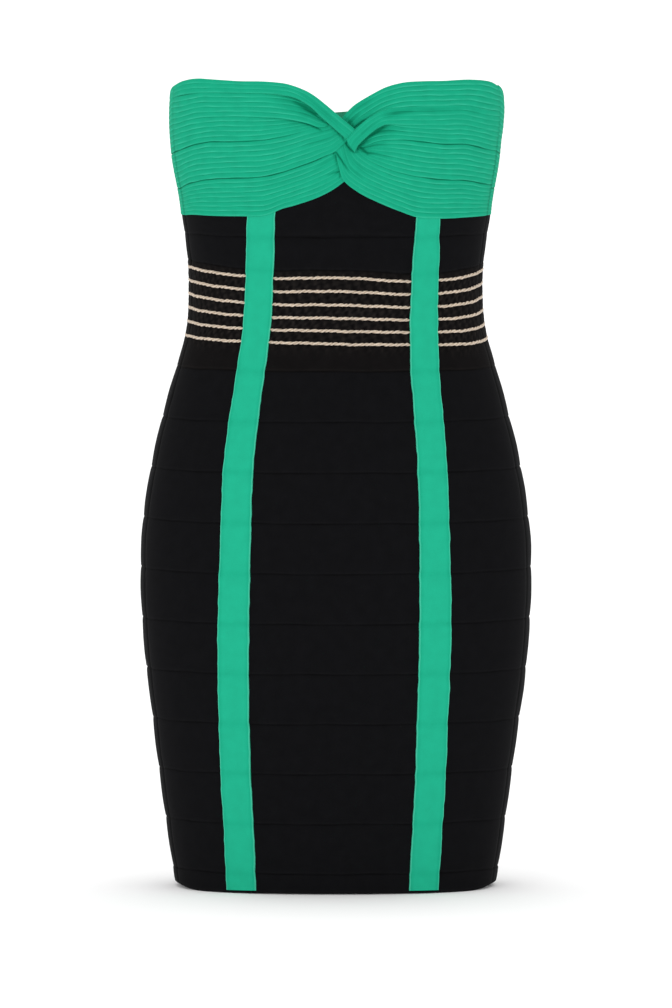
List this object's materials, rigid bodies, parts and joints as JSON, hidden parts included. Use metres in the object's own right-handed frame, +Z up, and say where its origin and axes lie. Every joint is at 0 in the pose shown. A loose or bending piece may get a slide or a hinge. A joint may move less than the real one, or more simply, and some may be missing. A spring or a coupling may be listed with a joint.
{
  "type": "strapless bodycon dress",
  "caption": "Strapless short bodycon dress of banded knit, filled out as worn, with a twisted sweetheart bust, long front stripes and a corded waist.",
  "frame": {"origin": "middle of the body at the bust line, 655 mm above the hem, where the wearer holds the dress up", "axes": "+Z up along the body, -Y to the front of the dress, +X to the right of someone who faces it"},
  "size_m": [0.341, 0.2147, 0.7055],
  "materials": {
    "black_band": "dense banded knit, matt with a faint sheen",
    "green_tucks": "tucked knit with a soft satin sheen",
    "green_band": "flat knit band with a soft satin sheen",
    "gold_thread": "twisted metallic thread"
  },
  "bodies": {
    "root": {"front_band_1": "black_band", "front_band_2": "black_band", "front_band_3": "black_band", "front_band_4": "black_band", "front_band_5": "black_band", "front_band_6": "black_band", "front_band_7": "black_band", "front_band_8": "black_band", "front_band_9": "black_band", "front_band_10": "black_band", "back_band_1": "black_band", "back_band_2": "black_band", "back_band_3": "black_band", "back_band_4": "black_band", "back_band_5": "black_band", "back_band_6": "black_band", "back_band_7": "black_band", "back_band_8": "black_band", "back_band_9": "black_band", "back_band_10": "black_band", "front_waist": "black_band", "front_midriff": "black_band", "back_waist": "black_band", "back_midriff": "black_band", "cup_left": "green_tucks", "cup_right": "green_tucks", "bust_back": "green_tucks", "twist_left": "green_tucks", "twist_right": "green_tucks", "stripe_left": "green_band", "stripe_right": "green_band", "trim_front_1": "gold_thread", "trim_back_1": "gold_thread", "trim_front_2": "gold_thread", "trim_back_2": "gold_thread", "trim_front_3": "gold_thread", "trim_back_3": "gold_thread", "trim_front_4": "gold_thread", "trim_back_4": "gold_thread", "trim_front_5": "gold_thread", "trim_back_5": "gold_thread", "trim_front_6": "gold_thread", "trim_back_6": "gold_thread"}
  },
  "joints": []
}
